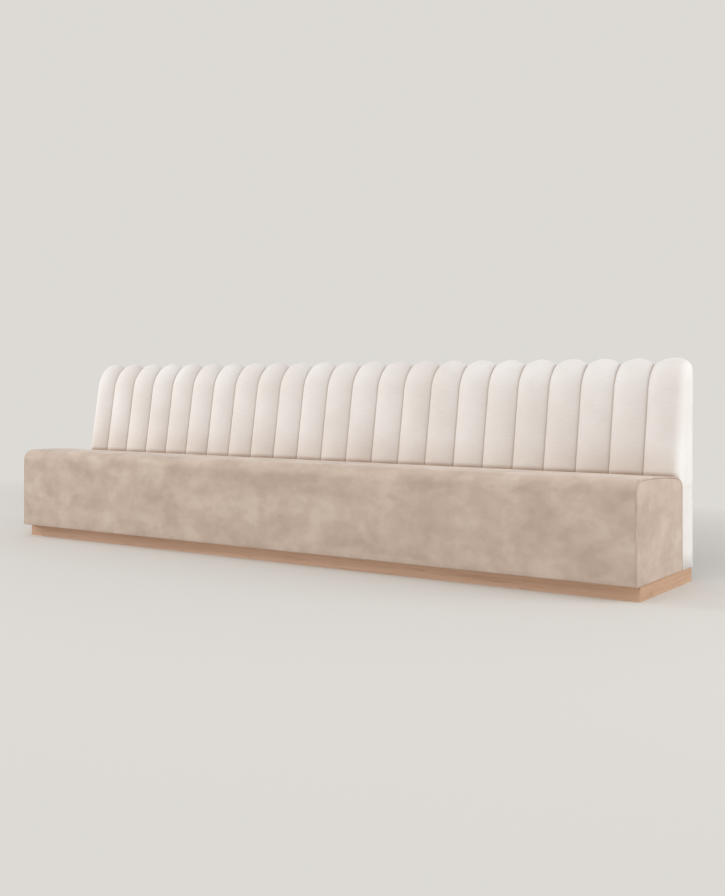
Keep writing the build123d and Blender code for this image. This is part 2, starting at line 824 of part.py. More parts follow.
def flute_face(drop, inset, web, end_side):
    with BuildLine() as outline:
        feet = []
        for side in (-1, 1):
            seam = half_section(side, drop, inset, web, end_side)
            feet.append((seam.X, flute_foot))
            if side != end_side:
                Line(seam, feet[-1])
        Line(feet[0], feet[1])
    make_face(outline.edges())


def flute_cover_face(drop, end_side):
    with BuildLine() as outline:
        for side in (-1, 1):
            outer = half_section(side, drop, 0, 0, end_side)
            inner = half_section(side, drop, cover, channel_web, end_side)
            if side != end_side:
                Line(outer, (outer.X, flute_foot))
                Line(inner, (inner.X, flute_foot))
            Line((outer.X, flute_foot), (inner.X, flute_foot))
    make_face(outline.edges())


with BuildPart() as seat_envelope:
    with BuildSketch(Plane.YZ):
        seat_face(-seat_to_flute_gap, plinth_height)
    extrude(amount=length, both=True)


def flute_foam(end_side):
    with BuildPart() as flute:
        for plane, drop in stations:
            with BuildSketch(plane):
                flute_face(drop, cover + play, channel_web + play, end_side)
        loft(ruled=True)
        split(bisect_by=Plane.XY.offset(ledge_height), keep=Keep.TOP)
        add(seat_envelope.part, mode=Mode.SUBTRACT)
    return flute.part


def flute_skin(end_side):
    with BuildPart() as skin:
        for plane, drop in stations:
            with BuildSketch(plane):
                flute_cover_face(drop, end_side)
        loft(ruled=True)
        with BuildSketch(stations[-1][0]):
            flute_face(top_drop, 0, 0, end_side)
        extrude(amount=-cover)
        split(bisect_by=Plane.XY.offset(ledge_height), keep=Keep.TOP)
        add(seat_envelope.part, mode=Mode.SUBTRACT)
    return skin.part


end_flute_x = length / 2 - half_pitch
inner_flute_places = [((i + 1) * pitch - end_flute_x, 0, 0) for i in range(channel_count - 2)]

with BuildPart() as back_channel_foams:
    with Locations(*inner_flute_places):
        add(flute_foam(0))
    for side in (-1, 1):
        with Locations((side * end_flute_x, 0, 0)):
            add(flute_foam(side))
back_channel_foams.part.label = "back_channel_foams"
export_step(back_channel_foams.part, "parts/back_channel_foams.step")

with BuildPart() as back_cover:
    with Locations(*inner_flute_places):
        add(flute_skin(0))
    for side in (-1, 1):
        with Locations((side * end_flute_x, 0, 0)):
            add(flute_skin(side))
back_cover.part.label = "back_cover"
export_step(back_cover.part, "parts/back_cover.step")

# Bolts from inside the seat box through its rear panel into the bolt rail of the back
head_face_y = seat_rear_y - box_board
nut_face_y = seat_rear_y + rail_thickness

with BuildPart() as back_bolts:
    with BuildSketch(Plane.XZ.offset(-head_face_y)):
        with Locations(*bolt_places):
            Circle(bolt_head_radius)
    extrude(amount=bolt_head_height)
    with BuildSketch(Plane.XZ.offset(-head_face_y)):
        with Locations(*bolt_places):
            Circle(bolt_radius)
    extrude(amount=-(box_board + rail_thickness + nut_height + bolt_spare))
back_bolts.part.label = "back_bolts"
export_step(back_bolts.part, "parts/back_bolts.step")

with BuildPart() as back_bolt_nuts:
    with BuildSketch(Plane.XZ.offset(-nut_face_y)):
        with Locations(*bolt_places):
            RegularPolygon(nut_width / 2, 6, major_radius=False)
            Circle(bolt_radius + thread_gap, mode=Mode.SUBTRACT)
    extrude(amount=-nut_height)
back_bolt_nuts.part.label = "back_bolt_nuts"
export_step(back_bolt_nuts.part, "parts/back_bolt_nuts.step")
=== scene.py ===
from math import atan2, cos, degrees, hypot, pi, radians, sin, sqrt, tan

import bmesh
import bpy
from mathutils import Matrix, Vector, noise


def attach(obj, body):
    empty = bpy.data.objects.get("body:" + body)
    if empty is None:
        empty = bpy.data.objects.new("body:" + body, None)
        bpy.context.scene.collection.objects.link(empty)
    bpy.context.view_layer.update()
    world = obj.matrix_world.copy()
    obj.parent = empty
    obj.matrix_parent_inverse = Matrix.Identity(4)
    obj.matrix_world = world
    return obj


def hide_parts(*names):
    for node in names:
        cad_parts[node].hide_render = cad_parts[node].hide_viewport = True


# A long restaurant booth: taupe suede seat, cream fluted back, low wood plinth.
# Metres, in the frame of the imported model. X along the bench, -Y is the front, Z up.

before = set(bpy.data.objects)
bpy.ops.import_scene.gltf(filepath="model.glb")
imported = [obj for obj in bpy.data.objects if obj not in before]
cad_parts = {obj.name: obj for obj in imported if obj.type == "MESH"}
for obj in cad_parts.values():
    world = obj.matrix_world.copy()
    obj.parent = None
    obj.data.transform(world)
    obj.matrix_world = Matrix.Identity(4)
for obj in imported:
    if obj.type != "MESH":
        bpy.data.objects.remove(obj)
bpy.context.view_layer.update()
scene = bpy.context.scene
print("frame loaded,", len(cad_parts), "nodes")

# Camera

shot = {
    "place": (3.279, -4.372, 0.810),
    "turn": 34.52,          # degrees from +Y towards -X
    "lens": 46.70,
    "sensor": 36.0,
    "shiftY": -0.0726,
}

cameraData = bpy.data.cameras.new("showroomCamera")
cameraData.lens = shot["lens"]
cameraData.sensor_width = shot["sensor"]
cameraData.shift_y = shot["shiftY"]
camera = bpy.data.objects.new("showroomCamera", cameraData)
camera.location = shot["place"]
camera.rotation_euler = (pi / 2, 0, radians(shot["turn"]))
scene.collection.objects.link(camera)
scene.camera = camera

# Lamps, world and floor

studio = {
    "worldLight": 0.50,
    "backdrop": (221, 218, 213),
    "floor": (216, 213, 208),
    "floorHalf": 60.0,
    "floorReach": (6.0, 3.2, 3.2),      # beyond this the floor has the backdrop's tone
    "fadeShare": 0.45,
}
white = (255, 255, 255)
lamps = {
    "leftLamp": {
        "place": (-6.5, -2.2, 2.6),
        "aim": (0.3, 0.15, 0.6),
        "size": (3.0, 3.0),
        "watts": 210,
    },
    "rightLamp": {
        "place": (5.6, 1.0, 2.2),
        "aim": (1.7, 0.0, 0.4),
        "size": (2.5, 2.5),
        "watts": 92,
    },
    "topLamp": {
        "place": (1.6, -3.6, 4.2),
        "aim": (0.8, 0.1, 0.4),
        "size": (6.0, 2.5),
        "watts": 108,
    },
}


# A screen colour, each part 0 to 255, as the linear colour that the shaders take
def paint(red, green, blue):
    shares = [c / 255 for c in (red, green, blue)]
    return [((s + 0.055) / 1.055) ** 2.4 if s > 0.04 else s / 12.92 for s in shares] + [1]


def addNode(tree, kind, values=None, **settings):
    node = tree.nodes.new(kind)
    for key, value in settings.items():
        setattr(node, key, value)
    for key, value in (values or {}).items():
        node.inputs[key].default_value = value
    return node


for name, lamp in lamps.items():
    lampData = bpy.data.lights.new(name, "AREA")
    lampData.shape = "RECTANGLE"
    lampData.size, lampData.size_y = lamp["size"]
    lampData.energy = lamp["watts"]
    lampObject = bpy.data.objects.new(name, lampData)
    lampObject.location = lamp["place"]
    aim = Vector(lamp["aim"]) - Vector(lamp["place"])
    lampObject.rotation_euler = aim.to_track_quat("-Z", "Y").to_euler()
    scene.collection.objects.link(lampObject)

world = bpy.data.worlds.new("studioWorld")
world.use_nodes = True
scene.world = world
scene.view_settings.view_transform = "Standard"
sky = world.node_tree
sky.nodes.clear()
lightSky = addNode(
    sky, "ShaderNodeBackground", {"Color": paint(*white), "Strength": studio["worldLight"]}
)
seenSky = addNode(
    sky, "ShaderNodeBackground", {"Color": paint(*studio["backdrop"]), "Strength": 1.0}
)
rays = sky.nodes.new("ShaderNodeLightPath")
seen = addNode(sky, "ShaderNodeMath", operation="MAXIMUM")
skyMix = sky.nodes.new("ShaderNodeMixShader")
skyOut = sky.nodes.new("ShaderNodeOutputWorld")
sky.links.new(rays.outputs["Is Camera Ray"], seen.inputs[0])
sky.links.new(rays.outputs["Is Glossy Ray"], seen.inputs[1])
sky.links.new(seen.outputs[0], skyMix.inputs[0])
sky.links.new(lightSky.outputs[0], skyMix.inputs[1])
sky.links.new(seenSky.outputs[0], skyMix.inputs[2])
sky.links.new(skyMix.outputs[0], skyOut.inputs[0])

# Finishes. The cloth patterns follow each piece's own UV map, in metres. The painted shade and
# bounce at the foot of the back, the woods, metals, plastic and felt are on Object coordinates.


def newFinish(name, roughness, metallic=0.0, sheen=0.0, sheenRoughness=0.5):
    finish = bpy.data.materials.new(name)
    finish.use_nodes = True
    shader = finish.node_tree.nodes["Principled BSDF"]
    shader.inputs["Roughness"].default_value = roughness
    shader.inputs["Metallic"].default_value = metallic
    shader.inputs["Sheen Weight"].default_value = sheen
    shader.inputs["Sheen Roughness"].default_value = sheenRoughness
    return finish, finish.node_tree, shader


def coordinates(tree, source="Object", scale=(1, 1, 1), turn=(0, 0, 0)):
    spot = tree.nodes.new("ShaderNodeTexCoord")
    mapping = addNode(tree, "ShaderNodeMapping", {"Scale": scale, "Rotation": turn})
    tree.links.new(spot.outputs[source], mapping.inputs["Vector"])
    return mapping.outputs["Vector"]


def grainNoise(tree, vector, scale, detail=3.0, roughness=0.5, distortion=0.0):
    grain = addNode(
        tree,
        "ShaderNodeTexNoise",
        {"Scale": scale, "Detail": detail, "Roughness": roughness, "Distortion": distortion},
    )
    tree.links.new(vector, grain.inputs["Vector"])
    return grain.outputs["Fac"]


def colourSteps(tree, factor, steps):
    ramp = tree.nodes.new("ShaderNodeValToRGB")
    ramp.color_ramp.interpolation = "EASE"
    while len(ramp.color_ramp.elements) < len(steps):
        ramp.color_ramp.elements.new(0.5)
    for element, (position, colour) in zip(ramp.color_ramp.elements, steps):
        element.position = position
        element.color = paint(*colour)
    tree.links.new(factor, ramp.inputs["Fac"])
    return ramp.outputs["Color"]


def blendColours(tree, first, second, factor, mode="MIX"):
    mix = addNode(tree, "ShaderNodeMix", data_type="RGBA", blend_type=mode)
    for socket, value in ((mix.inputs[6], first), (mix.inputs[7], second), (mix.inputs[0], factor)):
        if hasattr(value, "links"):      # an output socket, not a fixed value
            tree.links.new(value, socket)
        else:
            socket.default_value = value
    return mix.outputs[2]


def addBump(tree, shader, height, strength, distance):
    bump = addNode(tree, "ShaderNodeBump", {"Strength": strength, "Distance": distance})
    tree.links.new(height, bump.inputs["Height"])
    before = shader.inputs["Normal"]
    if before.is_linked:
        tree.links.new(before.links[0].from_socket, bump.inputs["Normal"])
    tree.links.new(bump.outputs["Normal"], before)


creamCloth = {
    "light": (244, 242, 240),
    "dark": (240, 237, 234),
    "slubStretch": (22, 200, 1),     # long horizontal slubs in the weave
    "threadStretch": (900, 900, 1),
    "cloudScale": 3.0,
    "seam": (206, 196, 186),         # painted shade on one side of each seam
    "flank": (255, 255, 254),        # and a painted highlight on its other side
    "flute": (247, 244, 242),
    "low": (241, 234, 228),          # painted warm bounce and shade just above the seat
    "lowShare": 0.16,
    # painted contact shadow where the flutes meet the seat
    "paintedContactShadow": (206, 188, 172),
    "paintedShadeRise": (0.434, 0.58),       # heights between which the painted shade fades out
    "plainSide": (1.67, 1.698),      # and distances along the bench, where it gives way to the plain side face
    "cloud": (247, 244, 242),
    "roughness": 0.86,
    "sheen": 0.30,
    "threadBump": 0.12,
    "slubBump": 0.06,
    "bumpDepth": 0.0006,
}


def makeCreamCloth():
    finish, tree, shader = newFinish(
        "creamCloth", creamCloth["roughness"], sheen=creamCloth["sheen"]
    )
    slub = grainNoise(tree, coordinates(tree, "UV", creamCloth["slubStretch"]), 1.0, 4.0, 0.6)
    cloud = grainNoise(tree, coordinates(tree, "UV"), creamCloth["cloudScale"], 2.0)
    thread = grainNoise(tree, coordinates(tree, "UV", creamCloth["threadStretch"]), 1.0, 2.0)
    base = colourSteps(tree, slub, [(0.30, creamCloth["dark"]), (0.62, creamCloth["light"])])
    soft = colourSteps(tree, cloud, [(0.3, creamCloth["cloud"]), (0.7, white)])
    colour = blendColours(tree, base, soft, 1.0, "MULTIPLY")
    # Painted shade on the left of each seam, a painted highlight on its right and a painted shade
    # line along the stitching
    seam = addNode(tree, "ShaderNodeAttribute", attribute_name="seamShade")
    flank = addNode(tree, "ShaderNodeMath", {1: -1.0}, operation="MULTIPLY")
    tree.links.new(seam.outputs["Fac"], flank.inputs[0])
    colour = blendColours(tree, colour, paint(*creamCloth["seam"]), seam.outputs["Fac"])
    colour = blendColours(tree, colour, paint(*creamCloth["flank"]), flank.outputs[0])
    # Painted shade at the foot of the back: a contact shadow and warm bounce, darker towards the
    # seat, fading out by height and near the side faces
    spot = tree.nodes.new("ShaderNodeTexCoord")
    split = tree.nodes.new("ShaderNodeSeparateXYZ")
    tree.links.new(spot.outputs["Object"], split.inputs[0])
    foot, top = creamCloth["paintedShadeRise"]
    rise = addNode(tree, "ShaderNodeMapRange", {"From Min": foot, "From Max": top})
    outside = addNode(tree, "ShaderNodeMath", operation="ABSOLUTE")
    inner, outer = creamCloth["plainSide"]
    endward = addNode(tree, "ShaderNodeMapRange", {"From Min": inner, "From Max": outer})
    tree.links.new(split.outputs["Z"], rise.inputs["Value"])
    tree.links.new(split.outputs["X"], outside.inputs[0])
    tree.links.new(outside.outputs[0], endward.inputs["Value"])
    steps = [
        (0.0, creamCloth["paintedContactShadow"]),
        (creamCloth["lowShare"], creamCloth["low"]),
        (1.0, creamCloth["flute"]),
    ]
    paintedShade = colourSteps(tree, rise.outputs["Result"], steps)
    paintedShade = blendColours(tree, paintedShade, paint(*white), endward.outputs["Result"])
    colour = blendColours(tree, colour, paintedShade, 1.0, "MULTIPLY")
    tree.links.new(colour, shader.inputs["Base Color"])
    addBump(tree, shader, thread, creamCloth["threadBump"], creamCloth["bumpDepth"])
    addBump(tree, shader, slub, creamCloth["slubBump"], creamCloth["bumpDepth"])
    return finish


taupeSuede = {
    "shadow": (192, 172, 156),
    "rose": (208, 183, 170),
    "base": (201, 181, 165),
    "light": (209, 191, 175),
    "patchScale": 9.0,
    "roseScale": 3.4,
    "roseTurn": 70,
    "napScale": 22.0,
    "napStretch": (0.62, 0.85, 1.0),
    "napTone": (246, 244, 242),
    "pileStretch": (1100, 1100, 1),
    "roughness": 0.9,
    "sheen": 0.22,
    "sheenRoughness": 0.45,
    "pileBump": (0.18, 0.0006),      # strength and depth
    "napBump": (0.10, 0.002),
}


def makeTaupeSuede():
    finish, tree, shader = newFinish(
        "taupeSuede",
        taupeSuede["roughness"],
        sheen=taupeSuede["sheen"],
        sheenRoughness=taupeSuede["sheenRoughness"],
    )
    here = coordinates(tree, "UV", taupeSuede["napStretch"])
    patch = grainNoise(tree, here, taupeSuede["patchScale"], 3.0, 0.55, 0.15)
    nap = grainNoise(tree, here, taupeSuede["napScale"], 3.0, 0.5)
    turned = coordinates(tree, "UV", turn=(0, 0, radians(taupeSuede["roseTurn"])))
    rose = grainNoise(tree, turned, taupeSuede["roseScale"], 3.0, 0.5)
    cloudy = colourSteps(
        tree,
        patch,
        [(0.36, taupeSuede["shadow"]), (0.5, taupeSuede["base"]), (0.64, taupeSuede["light"])],
    )
    brushed = colourSteps(tree, nap, [(0.3, taupeSuede["napTone"]), (0.65, white)])
    pink = colourSteps(tree, rose, [(0.42, (0, 0, 0)), (0.7, (120, 120, 120))])
    colour = blendColours(tree, cloudy, paint(*taupeSuede["rose"]), pink)
    colour = blendColours(tree, colour, brushed, 1.0, "MULTIPLY")
    tree.links.new(colour, shader.inputs["Base Color"])
    pile = grainNoise(tree, coordinates(tree, "UV", taupeSuede["pileStretch"]), 1.0, 2.0)
    addBump(tree, shader, pile, *taupeSuede["pileBump"])
    addBump(tree, shader, nap, *taupeSuede["napBump"])
    return finish


# Two copies of one plinth wood, toned for how light falls: lighter front and rear boards, darker
# end boards
# Along and across are the grain's noise scales with the fibre and over it
plinthWoodLitCopy = {
    "dark": (212, 171, 144),
    "middle": (224, 186, 158),
    "light": (230, 195, 171),
    "along": 1.1,
    "across": 46.0,
    "roughness": 0.5,
}
plinthWoodShadedCopy = {
    "dark": (188, 148, 119),
    "middle": (201, 163, 133),
    "light": (212, 176, 148),
    "along": 1.1,
    "across": 46.0,
    "roughness": 0.5,
}
pineWood = {
    "dark": (190, 158, 116),
    "middle": (214, 184, 142),
    "light": (228, 202, 164),
    "along": 0.9,
    "across": 38.0,
    "roughness": 0.7,
}
birchPly = {
    "dark": (186, 156, 118),
    "middle": (208, 180, 142),
    "light": (222, 198, 164),
    "along": 1.6,
    "across": 26.0,
    "roughness": 0.65,
}
woodFigure = {
    "band": (232, 226, 220),
    "bandBreadth": 5,       # times the fibre's
    "pore": (214, 204, 196),
    "poreFineness": 7,      # times the fibre's
    "poreBump": (0.15, 0.0005),
}


# The grain runs along axis 0, 1 or 2: X, Y or Z
def makeWood(name, timber, axis):
    finish, tree, shader = newFinish(name, timber["roughness"])
    stretch = [timber["across"]] * 3
    stretch[axis] = timber["along"]
    here = coordinates(tree, "Object", stretch)
    fibre = grainNoise(tree, here, 1.0, 6.0, 0.62, 0.4)
    broader = coordinates(tree, "Object", [s / woodFigure["bandBreadth"] for s in stretch])
    broad = grainNoise(tree, broader, 1.0, 3.0, 0.5, 0.8)
    finer = coordinates(tree, "Object", [s * woodFigure["poreFineness"] for s in stretch])
    pores = grainNoise(tree, finer, 1.0, 3.0, 0.6)
    steps = [(0.3, timber["dark"]), (0.5, timber["middle"]), (0.72, timber["light"])]
    wood = colourSteps(tree, fibre, steps)
    bands = colourSteps(tree, broad, [(0.3, woodFigure["band"]), (0.6, white)])
    poreTone = colourSteps(tree, pores, [(0.28, woodFigure["pore"]), (0.42, white)])
    colour = blendColours(tree, wood, bands, 1.0, "MULTIPLY")
    colour = blendColours(tree, colour, poreTone, 1.0, "MULTIPLY")
    tree.links.new(colour, shader.inputs["Base Color"])
    addBump(tree, shader, pores, *woodFigure["poreBump"])
    return finish


zincPlate = {"tone": (196, 198, 200), "roughness": 0.38}
springSteel = {"tone": (112, 114, 118), "roughness": 0.42}
metalMottle = {"scale": 180.0, "darker": 0.82, "bump": (0.08, 0.0003)}


def makeMetal(name, metal):
    finish, tree, shader = newFinish(name, metal["roughness"], metallic=1.0)
    mottled = grainNoise(tree, coordinates(tree), metalMottle["scale"], 4.0)
    darker = tuple(int(c * metalMottle["darker"]) for c in metal["tone"])
    colour = colourSteps(tree, mottled, [(0.3, darker), (0.7, metal["tone"])])
    tree.links.new(colour, shader.inputs["Base Color"])
    addBump(tree, shader, mottled, *metalMottle["bump"])
    return finish


footPlastic = {
    "tone": (38, 38, 40),
    "lighter": 1.25,
    "gritScale": 900.0,
    "roughness": 0.48,
    "bump": (0.2, 0.0003),
}


def makePlastic():
    finish, tree, shader = newFinish("footPlastic", footPlastic["roughness"])
    grit = grainNoise(tree, coordinates(tree), footPlastic["gritScale"], 3.0)
    lighter = tuple(int(c * footPlastic["lighter"]) for c in footPlastic["tone"])
    colour = colourSteps(tree, grit, [(0.3, footPlastic["tone"]), (0.8, lighter)])
    tree.links.new(colour, shader.inputs["Base Color"])
    addBump(tree, shader, grit, *footPlastic["bump"])
    return finish


greyFelt = {
    "dark": (118, 114, 108),
    "middle": (150, 146, 139),
    "light": (178, 174, 167),
    "hairStretch": (260, 70, 200),
    "roughness": 0.95,
    "sheen": 0.2,
    "bump": (0.4, 0.001),
}


def makeFelt():
    finish, tree, shader = newFinish("greyFelt", greyFelt["roughness"], sheen=greyFelt["sheen"])
    stretched = coordinates(tree, "Object", greyFelt["hairStretch"])
    hairs = grainNoise(tree, stretched, 1.0, 5.0, 0.7, 1.2)
    tones = [(0.3, greyFelt["dark"]), (0.55, greyFelt["middle"]), (0.75, greyFelt["light"])]
    tree.links.new(colourSteps(tree, hairs, tones), shader.inputs["Base Color"])
    addBump(tree, shader, hairs, *greyFelt["bump"])
    return finish


finishes = {
    "cream": makeCreamCloth(),
    "suede": makeTaupeSuede(),
    "plinthFront": makeWood("plinthWoodLong", plinthWoodLitCopy, 0),
    "plinthSide": makeWood("plinthWoodShort", plinthWoodShadedCopy, 1),
    "pineLong": makeWood("pineLong", pineWood, 0),
    "pineDeep": makeWood("pineDeep", pineWood, 1),
    "pineTall": makeWood("pineTall", pineWood, 2),
    "ply": makeWood("birchPly", birchPly, 0),
    "zinc": makeMetal("zincPlate", zincPlate),
    "spring": makeMetal("springSteel", springSteel),
    "plastic": makePlastic(),
    "felt": makeFelt(),
}
print("finishes made,", len(finishes))

# Tools shared by the pieces

mergeGap = 0.00002      # vertices nearer than this are one


# A grid whose vertices are moved to place(i, j). Across and along are the cloth's lengths for its
# UV map, and shade(i) is kept on the vertices of column i.
def gridPiece(columns, rows, place, across, along, shade=None):
    bm = bmesh.new()
    bmesh.ops.create_grid(bm, x_segments=columns, y_segments=rows, size=0.5)
    uvLayer = bm.loops.layers.uv.new("clothRun")
    shadeLayer = bm.verts.layers.float.new("seamShade") if shade else None
    spots = {v: (round((v.co.x + 0.5) * columns), round((v.co.y + 0.5) * rows)) for v in bm.verts}
    for face in bm.faces:
        for loop in face.loops:
            i, j = spots[loop.vert]
            loop[uvLayer].uv = (across[i], along[j])
    for vert, (i, j) in spots.items():
        if shade:
            vert[shadeLayer] = shade(i)
        vert.co = place(i, j)
    return bm


def runningLength(points):
    total = [0.0]
    for a, b in zip(points, points[1:]):
        total.append(total[-1] + (Vector(b) - Vector(a)).length)
    return total


def closeShell(bm):
    bmesh.ops.remove_doubles(bm, verts=bm.verts, dist=mergeGap)
    bmesh.ops.holes_fill(bm, edges=[e for e in bm.edges if e.is_boundary], sides=0)


# Turns the faces outwards by the foremost one, which has to look to the front
def finishPiece(name, bm, finish, replaced, sharp=None):
    bmesh.ops.remove_doubles(bm, verts=bm.verts, dist=mergeGap)
    bmesh.ops.recalc_face_normals(bm, faces=bm.faces)
    front = min(bm.faces, key=lambda face: face.calc_center_median().y)
    if front.normal.y > 0:
        bmesh.ops.reverse_faces(bm, faces=bm.faces)
    mesh = bpy.data.meshes.new(name)
    bm.to_mesh(mesh)
    bm.free()
    mesh.materials.append(finish)
    mesh.shade_smooth()
    if sharp:
        mesh.set_sharp_from_angle(angle=radians(sharp))
    piece = bpy.data.objects.new(name, mesh)
    scene.collection.objects.link(piece)
    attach(piece, "bench")
    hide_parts(*replaced)
    print(name, len(mesh.polygons), "faces")
    return piece


def arc(centre, radius, start, end, steps):
    turns = [radians(start + (end - start) * n / steps) for n in range(steps + 1)]
    return [(centre[0] + radius * cos(t), centre[1] + radius * sin(t)) for t in turns]


def ripple(point, size, height, seed=0.0):
    return height * noise.noise(Vector(point) / size + Vector((seed, seed * 0.7, seed * 1.3)))


# Sizes and outline of the seat, which the back rests against

seat = {
    "front": -0.306,
    "rear": 0.184,
    "bottom": 0.0604,
    "frameFront": -0.2962,
    "feltTop": 0.3542,
    "clothHalf": 1.6935,
    "crest": 0.455,
    "crestSetback": 0.096,
    "frontRadius": 0.054,
    "crownRadius": 3.100,
    "roundDepth": 0.070,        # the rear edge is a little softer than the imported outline
    "roundDrop": 0.052,
    "tuckShare": 0.85,
    "hem": 0.003,
    "hemFold": 0.3,             # share of the hem at which it turns under
    "runStart": 2.0,            # where the cloth starts in the suede's pattern
    "columns": 150,
    "frontRows": 18,
    "edgeRows": 12,
    "crownRows": 22,
    "fallRows": 8,
    "tuckRows": 6,
    "innerRows": 10,
    "innerFrontRows": 6,
    "edgeRoll": (0.0, 0.0012, 0.003, 0.007, 0.02),      # the first columns, from each end
    "edgePulls": (0.0009, 0.0004, 0.0001),              # and how far they sink at the welt
    "unevenness": 0.0011,
    "unevenSize": 0.22,
    "unevenSeed": 1.7,
    "evenFoot": 0.05,           # the cloth is pulled smooth this far above its hem
    "settle": 0.0004,
    "backGap": 0.0012,          # the back's flutes stop this far above the seat
    "backReach": 0.1,           # the part of the crown under the back lies behind this
}


# The seat's outline in Y and Z, up the front, over the crown and down the rear
def seatOutline(inset, bottom, rearBottom):
    front, rear = seat["front"], seat["rear"]
    crownR, edgeR = seat["crownRadius"], seat["frontRadius"]
    crown = (front + seat["crestSetback"], seat["crest"] - crownR)
    edgeY = front + edgeR
    edge = (edgeY, crown[1] + sqrt((crownR - edgeR) ** 2 - (edgeY - crown[0]) ** 2))
    edgeTurn = degrees(atan2(edge[1] - crown[1], edge[0] - crown[0]))
    fallSide = (rear - seat["roundDepth"] - crown[0]) / crownR
    fall = (fallSide, sqrt(1 - fallSide**2))
    fallPoint = (crown[0] + crownR * fall[0], crown[1] + crownR * fall[1])
    tuckR = seat["tuckShare"] * seat["roundDrop"]
    tuck = (rear - tuckR, fallPoint[1] - seat["roundDrop"])
    run, sink = tuck[0] - fallPoint[0], tuck[1] - fallPoint[1]
    lean = -(run * fall[0] + sink * fall[1])
    fallR = (run**2 + sink**2 - tuckR**2) / (2 * (lean - tuckR))
    fallCentre = (fallPoint[0] - fallR * fall[0], fallPoint[1] - fallR * fall[1])
    tuckTurn = degrees(atan2(tuck[1] - fallCentre[1], tuck[0] - fallCentre[0]))
    fallTurn = degrees(atan2(fall[1], fall[0]))
    rows = seat["frontRows"]
    points = [(front + inset, bottom + (edge[1] - bottom) * n / rows) for n in range(rows)]
    points += arc(edge, edgeR - inset, 180, edgeTurn, seat["edgeRows"])[:-1]
    points += arc(crown, crownR - inset, edgeTurn, fallTurn, seat["crownRows"])[:-1]
    points += arc(fallCentre, fallR - inset, fallTurn, tuckTurn, seat["fallRows"])[:-1]
    points += arc(tuck, tuckR - inset, tuckTurn, 0, seat["tuckRows"])
    points.append((rear - inset, (tuck[1] + rearBottom) / 2))
    points.append((rear - inset, rearBottom))
    return points


seatSkin = seatOutline(0.0, seat["bottom"] + seat["hem"], seat["feltTop"])


def seatTopAt(y, otherwise):
    for (y0, z0), (y1, z1) in zip(seatSkin, seatSkin[1:]):
        if seat["backReach"] < y0 <= y < y1:
            return z0 + (z1 - z0) * (y - y0) / (y1 - y0) + seat["backGap"]
    return otherwise


# Back: one length of cream cloth over the flutes, rolled over the top and round both ends

back = {
    "halfLength": 1.700,
    "flutes": 23,
    "fieldShift": -0.0072,          # metres, moves the inner seams along the bench
    "rake": 9.4,
    "apex": (0.298, 0.914),
    "topRadius": 0.063,
    "shoulderRadius": 0.173,
    "topTurn": 38.0,
    "ledge": 0.4005,
    "seamDepth": 0.0217,
    "seamDepthTop": 0.0335,
    "seamPinch": 0.0016,        # the stitched line pulls in a little further
    "roundness": 1.70,
    "endRoundness": 2.6,
    "endDrop": 0.058,
    "endLowDrop": 0.0555,
    "endLowReach": 0.040,
    "footCurl": 0.010,          # the flutes turn in towards the crevice above the seat
    "footCurlReach": 0.030,
    "footEase": 1.5,            # rows crowd together towards the foot
    "foldPower": 6,             # keeps a fold to the edge of its flute
    "rearRound": 0.0065,
    "rearFace": 0.3044,
    "rearEdge": 0.0012,
    "rearHem": 0.006,
    "rearBottom": 0.846,
    "sideShares": (0.04, 0.2, 0.5, 0.8, 1.0),       # columns of the side faces, front to rear
    "sideEdge": 0.0075,
    "ledgeGap": 0.0001,
    "sideRunU": 5.0,            # where the side cloth starts in its UV map
    "plinthTop": 0.0605,
    "seatRear": 0.1835,
    "padDepth": 0.0095,
    "stitchShare": 0.999,       # beyond this share of its half width a flute is its seam
    # painted shade and highlight beside the seams, and a painted shade line along the stitching
    "shadeFrom": 0.91,
    "shadeReach": 0.07,
    "stitchShade": 0.3,
    "paintedShadeFlank": 0.9,
    "paintedHighlightFlank": -1.0,
    "halfSteps": 8,
    "endSteps": 12,
    "straightRows": 26,
    "shoulderRows": 8,
    "topRows": 12,
    "rearRows": 5,
    "lowRows": 5,
    "unevenness": 0.0006,
    "unevenSize": 0.09,
    "unevenShare": 0.98,        # the seams themselves stay straight
    "unevenStep": 3.1,          # noise offset from flute to flute
    "sliver": 0.0006,           # edges shorter than this are merged away
}


# Points up the flutes' crests and over the top, each with the way the cloth runs there, in degrees
def backRows():
    rows = []
    topCentre = (back["apex"][0], back["apex"][1] - back["topRadius"])
    heading = 90 - back["rake"]
    turn = radians(back["topTurn"])
    gap = back["topRadius"] - back["shoulderRadius"]
    shoulderCentre = (topCentre[0] - gap * sin(turn), topCentre[1] + gap * cos(turn))
    start = radians(heading)
    foot = (
        shoulderCentre[0] - back["shoulderRadius"] * sin(start),
        shoulderCentre[1] + back["shoulderRadius"] * cos(start),
    )
    for n in range(back["straightRows"]):
        z = back["ledge"] + (foot[1] - back["ledge"]) * n / back["straightRows"]
        rows.append((foot[0] - (foot[1] - z) / tan(start), z, heading))
    shoulderWays = [
        heading + (back["topTurn"] - heading) * n / back["shoulderRows"]
        for n in range(back["shoulderRows"])
    ]
    topWays = [back["topTurn"] * (1 - n / back["topRows"]) for n in range(back["topRows"] + 1)]
    for centre, r, ways in (
        (shoulderCentre, back["shoulderRadius"], shoulderWays),
        (topCentre, back["topRadius"], topWays),
    ):
        for way in ways:
            y, z = centre[0] - r * sin(radians(way)), centre[1] + r * cos(radians(way))
            rows.append((y, z, way))
    return rows


